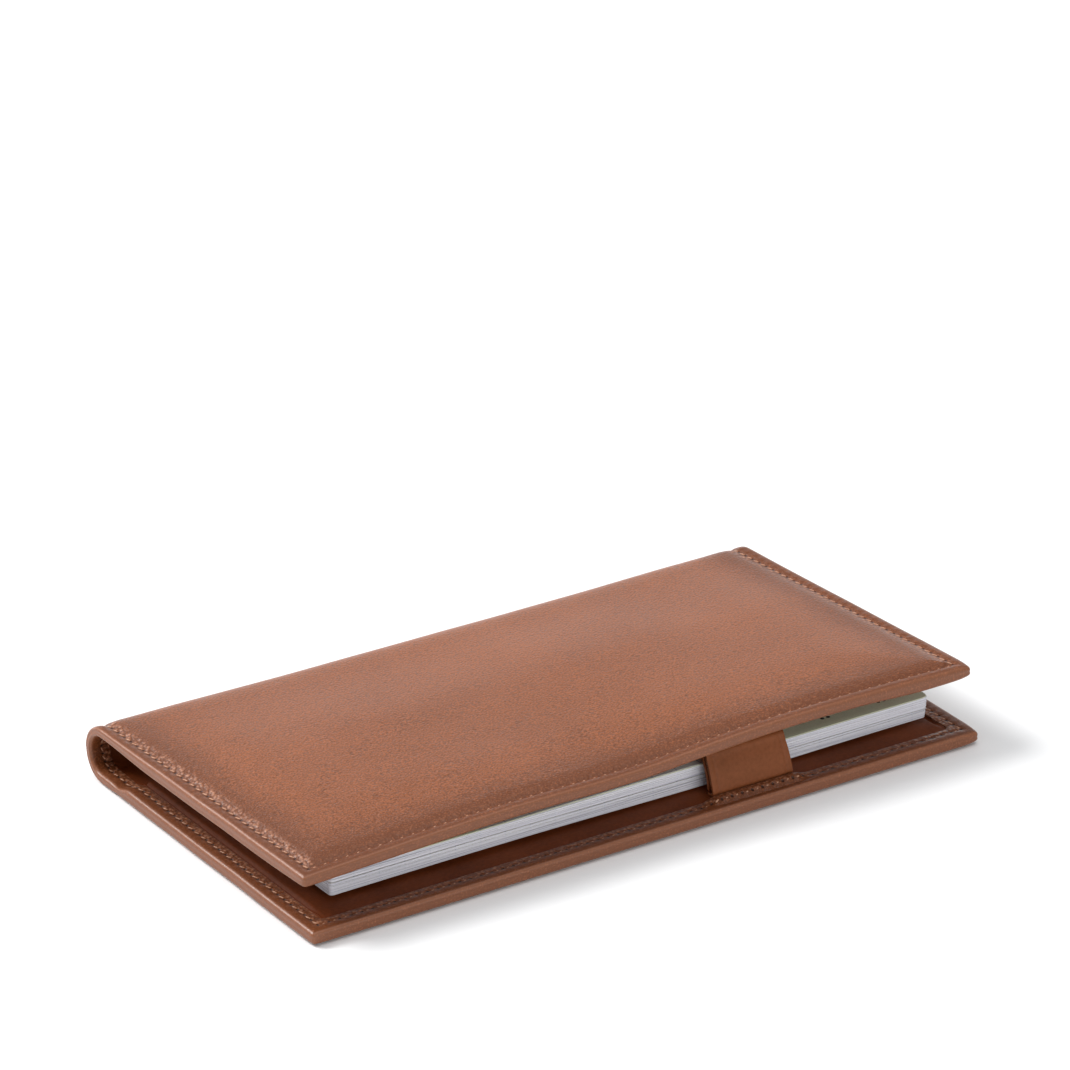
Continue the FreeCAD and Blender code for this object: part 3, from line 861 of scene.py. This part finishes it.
# ---- the refill ------------------------------------------------------------------------
def settle(obj):
    """The stack has settled unevenly: the line where it opens runs down to one side, and it bows."""
    x, y, z = places(obj)
    share = (z - STACK_BOTTOM.z) / (STACK_TOP.z - STACK_BOTTOM.z)
    lean = -0.2 * MM - 0.55 * MM * x / END_X
    weight = np.where(share > SPLIT, (1 - share) / (1 - SPLIT), share / SPLIT)
    bottom = 0.75 * MM - 0.65 * MM * bell((x - 22 * MM) / (36 * MM))
    bow = 0.35 * MM * (1 - (x / END_X) ** 2) + bottom * np.clip(1 - share, 0, 1)
    fore = ease((STACK_BOTTOM.y + 60 * MM - y) / (60 * MM))
    fanned = 0.5 * MM * np.clip(1 - share, 0, 1) * ease((x - END_X / 2) / (END_X / 3))
    move(obj, x - fanned, y, z + (lean * np.clip(weight, 0, 1) + bow) * fore)


def paper_section(number):
    """A few folded sheets: each leaf is trimmed a hair differently at the fore edge."""
    low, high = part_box(f"section_{number}")
    rest = (high.z - low.z) / LEAVES
    parts = []
    for n in range(LEAVES):
        shift = RANDOM.uniform(-0.09, 0.09) * MM
        ends = RANDOM.uniform(-0.08, 0.08) * MM
        bottom = low.z + n * rest
        top = bottom + rest - LEAF_GAP
        if number == LOWER_SECTIONS and n == LEAVES - 1:
            top -= 0.16 * MM      # the dark line where the stack opens
        fore = low.y + 0.1 * MM + shift
        leaf = block("leaf", (low.x + ends, fore, bottom), (high.x + ends, high.y, top))
        pick(leaf, "edges", lambda e: abs(e.verts[0].co.z - e.verts[1].co.z) > 0.05 * MM
             and e.verts[0].co.y < low.y + 1 * MM)
        bpy.ops.mesh.bevel(offset=0.9 * MM, segments=4)
        pick(leaf, "edges", lambda e: min(v.co.y for v in e.verts) > high.y - 0.01 * MM
             and abs(e.verts[0].co.x - e.verts[1].co.x) > 1 * MM)
        bpy.ops.mesh.bevel(offset=0.06 * MM, segments=2)
        cut(0, evenly(low.x, high.x, 8 * MM))
        end()
        parts.append(leaf)
    obj = join(f"paper_section_{number}", parts)
    settle(obj)
    smooth(obj, 30)
    return obj


def front_card():
    """The refill's front card: rounded at the fore edge and creased down over the fold."""
    low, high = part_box("refill_front_card")
    card = CARD_THICKNESS
    obj = block("refill_card_front", (low.x, low.y, high.z - card), (high.x, high.y, high.z))
    pick(obj, "edges", lambda e: abs(e.verts[0].co.z - e.verts[1].co.z) > 0.1 * MM
         and e.verts[0].co.y < low.y + 1 * MM)
    bpy.ops.mesh.bevel(offset=1.6 * MM, segments=6)
    cut(1, [high.y - card])
    pick(obj, "faces", lambda f: f.normal.z < -0.9 and f.calc_center_median().y > high.y - card)
    bpy.ops.mesh.extrude_region_move(TRANSFORM_OT_translate={"value": (0, 0, low.z - high.z + card)})
    end()
    finish_with(obj, "BEVEL", width=0.05 * MM, segments=2, limit_method="ANGLE")
    smooth(obj, 40)
    return obj


def printed_dots():
    """A plain printed row of paired dots along the card's fore edge."""
    low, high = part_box("refill_front_card")
    dots = []
    for n in range(DOT_PAIRS):
        for step in (0, DOT_STEP):
            x = low.x + DOT_START + n * DOT_PAIR_STEP + step
            place = (x, low.y + DOT_IN, high.z + DOT_THICKNESS / 2)
            bpy.ops.object.select_all(action="DESELECT")
            bpy.ops.mesh.primitive_cylinder_add(vertices=16, radius=DOT_RADIUS, depth=DOT_THICKNESS,
                                                location=place)
            dot = begin("dot")
            pick(dot, "faces", lambda f: f.normal.z > 0.9)
            bpy.ops.mesh.inset(thickness=0.12 * MM)
            end()
            dots.append(dot)
    return join("printed_dots", dots)


# ---- build -----------------------------------------------------------------------------
LEATHER_BACK = calf_leather("calf_aniline_dyed_back", BACK_LENGTH, 0.8)
LEATHER_FRONT = calf_leather("calf_aniline_dyed_front", FRONT_LENGTH, 0.15)
LINING = plain_leather("calf_split_lining", "#7E3E1B", "#5C290C", 0.6)
STRAP = plain_leather("calf_strap", "#8C502E", "#723F1F", 0.5)
THREAD = waxed_thread("waxed_polyester_thread", "#C9987A", "#A06E50")
BINDING = waxed_thread("linen_binding_thread", "#E4E0D6", "#C9C4B8")
PAPER = paper_stock("wood_free_paper")
CARD = fibre_stock("dyed_card", "#D4D6BC", "#C2C5AA", 0.4 * MM)
INK = fibre_stock("olive_printing_ink", "#4A4B3D", "#3A3B2F", 0.3 * MM)
GREYBOARD = fibre_stock("greyboard", "#9A958C", "#7E796F", 0.8 * MM)
FELT = fibre_stock("needled_felt", "#D9D4C6", "#BDB6A5", 1.2 * MM)

for front in (False, True):
    side = "front" if front else "back"
    length = FRONT_LENGTH if front else BACK_LENGTH
    leather = LEATHER_FRONT if front else LEATHER_BACK
    cover = cover_leather(f"cover_leather_{side}", front)
    dress(cover, leather, "tan_leather", f"outer_leather_{side}", "outer_leather_spine")
    attach(cover, front, True)

    board_end = board_end_of(length)
    lining = layer(f"lining_{side}_sheet", front, LINING_INSET, length,
                   lambda x, s: lining_top(s, length) - LINING_THICKNESS,
                   lambda x, s: lining_top(s, length))
    dress(lining, LINING, "lining_leather", f"lining_{side}", "lining_spine")
    attach(lining, front, True)

    pocket = layer(f"pocket_{side}_sheet", front, POCKET_INSET, POCKET_END - (BACK_LENGTH - length),
                   lambda x, s: pocket_top(x, s, length, front) - POCKET_THICKNESS,
                   lambda x, s: pocket_top(x, s, length, front))
    dress(pocket, LINING, "lining_leather", f"pocket_{side}")
    attach(pocket, front, False)

    board = layer(f"board_{side}_sheet", front, BOARD_INSET, board_end,
                  lambda x, s: BOARD_FACES[0], lambda x, s: BOARD_FACES[1])
    dress(board, GREYBOARD, "greyboard", f"board_{side}")
    attach(board, front, False)

    padding = layer(f"padding_{side}_felt", front, PAD_INSET, board_end,
                    lambda x, s: outside(x, s, length, front) + SKIN + GLUE, lambda x, s: FELT_TOP)
    dress(padding, FELT, "felt_padding", f"padding_{side}")
    attach(padding, front, False)

    for face in ("outside", "inside"):
        row = seam(f"seam_{side}_{face}", front, face)
        dress(row, THREAD, "seam_thread", f"thread_{side}", "thread_spine")
        attach(row, front, True)

strap = pen_loop()
dress(strap, STRAP, "loop_leather", "pen_loop")
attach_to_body(strap, "loop")
foot = loop_foot()
dress(foot, STRAP, "loop_leather", "pen_loop_foot")
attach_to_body(foot, "back")

UPPER = {5: "upper_section_a", 6: "upper_section_b", 7: "upper_section_c"}
for number in range(1, SECTIONS + 1):
    section = paper_section(number)
    dress(section, PAPER, "paper", f"section_{number}")
    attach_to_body(section, UPPER.get(number, "back"))

card = front_card()
dress(card, CARD, "sage_card", "refill_front_card")
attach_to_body(card, "refill_front")
print_row = printed_dots()
dress(print_row, INK, "sage_card")
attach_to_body(print_row, "refill_front")

for node, material in (("refill_back_card", CARD),
                       ("section_thread_lower", BINDING), ("section_thread_5", BINDING),
                       ("section_thread_6", BINDING), ("section_thread_7", BINDING)):
    slots = frame["nodes"][node].data.materials
    slots.clear()
    slots.append(material)

# ---- floor, light and camera -----------------------------------------------------------
bpy.ops.mesh.primitive_plane_add(size=8, location=(0, 0, 0))
floor = bpy.context.object
floor.name = "floor"
white, _ = surface("matt_white_sweep", Roughness=0.9, Base_Color=(0.92, 0.92, 0.92, 1))
floor.data.materials.append(white)

world = bpy.data.worlds.new("studio")
world.use_nodes = True
backdrop = world.node_tree.nodes["Background"]
backdrop.inputs["Color"].default_value = (0.95, 0.97, 1.0, 1)
backdrop.inputs["Strength"].default_value = 0.36
bpy.context.scene.world = world


def softbox(name, place, target, size, power):
    """A rectangular light turned to its target."""
    light = bpy.data.lights.new(name, "AREA")
    light.shape = "RECTANGLE"
    light.size, light.size_y = size
    light.energy = power
    obj = bpy.data.objects.new(name, light)
    bpy.context.collection.objects.link(obj)
    obj.location = place
    obj.rotation_euler = (Vector(target) - Vector(place)).to_track_quat("-Z", "Y").to_euler()


softbox("key_behind_left", (-0.75, 0.95, 1.1), (0, 0, 0), (0.9, 0.7), 29)
softbox("low_behind", (0.35, 1.35, 0.14), (0, 0, 0.02), (2.6, 0.24), 4.5)
softbox("overhead", (0.2, 0.1, 1.5), (0, 0, 0), (1.2, 1.2), 8)
softbox("fill_before", (0.1, -1.6, 0.55), (0, 0, 0), (1.6, 0.7), 9)

camera = bpy.data.objects.new("camera", bpy.data.cameras.new("camera"))
bpy.context.collection.objects.link(camera)
camera.data.lens = 199.5
camera.data.sensor_width = 36
camera.data.clip_start = 0.01
camera.location = (-0.6621, -1.0001, 0.604)
camera.rotation_euler = (math.radians(65.428), math.radians(-0.179), math.radians(-33.413))
bpy.context.scene.camera = camera
bpy.context.scene.view_settings.view_transform = "Standard"
